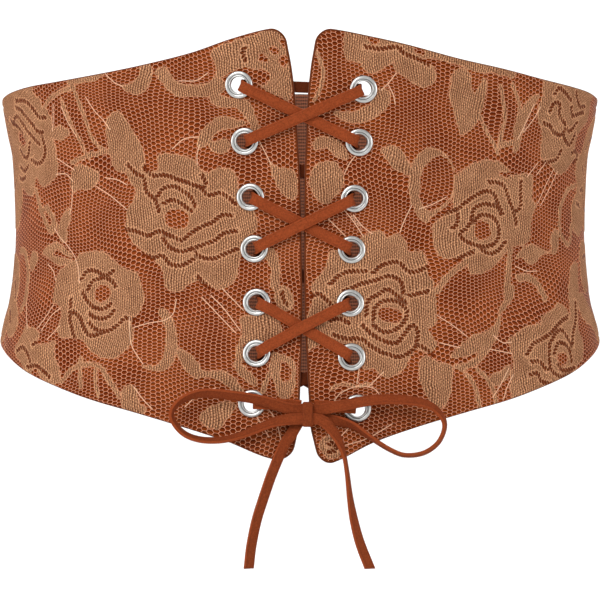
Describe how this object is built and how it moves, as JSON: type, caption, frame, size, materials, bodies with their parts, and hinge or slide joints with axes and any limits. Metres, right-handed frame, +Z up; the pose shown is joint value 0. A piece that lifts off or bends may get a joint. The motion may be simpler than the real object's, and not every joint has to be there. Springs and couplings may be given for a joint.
{
  "type": "laced corset belt",
  "caption": "Wide waist belt, laced and tied in a bow at the front, with lace-covered front panels, metal eyelets, a flat lace and an elastic back band.",
  "frame": {"origin": "on the waist line, at the middle of the body that the belt is closed round", "axes": "+X to the wearer's left across the belt, -Y out of the laced front, +Z up along the body"},
  "size_m": [0.2806, 0.2078, 0.2405],
  "materials": {
    "panel_cloth": "rust imitation leather under tan floral lace",
    "elastic": "matte ribbed elastic",
    "eyelet_metal": "polished nickel plate",
    "suede_lace": "matte suede"
  },
  "bodies": {
    "root": {"panel_left": "panel_cloth", "panel_right": "panel_cloth", "back_band": "elastic", "eyelet_left_1": "eyelet_metal", "eyelet_left_2": "eyelet_metal", "eyelet_left_3": "eyelet_metal", "eyelet_left_4": "eyelet_metal", "eyelet_left_5": "eyelet_metal", "eyelet_left_6": "eyelet_metal", "eyelet_left_7": "eyelet_metal", "eyelet_right_1": "eyelet_metal", "eyelet_right_2": "eyelet_metal", "eyelet_right_3": "eyelet_metal", "eyelet_right_4": "eyelet_metal", "eyelet_right_5": "eyelet_metal", "eyelet_right_6": "eyelet_metal", "eyelet_right_7": "eyelet_metal", "lacing": "suede_lace", "bow_knot": "suede_lace", "bow_loop_left": "suede_lace", "bow_loop_right": "suede_lace", "lace_end_left": "suede_lace", "lace_end_right": "suede_lace"}
  },
  "joints": []
}
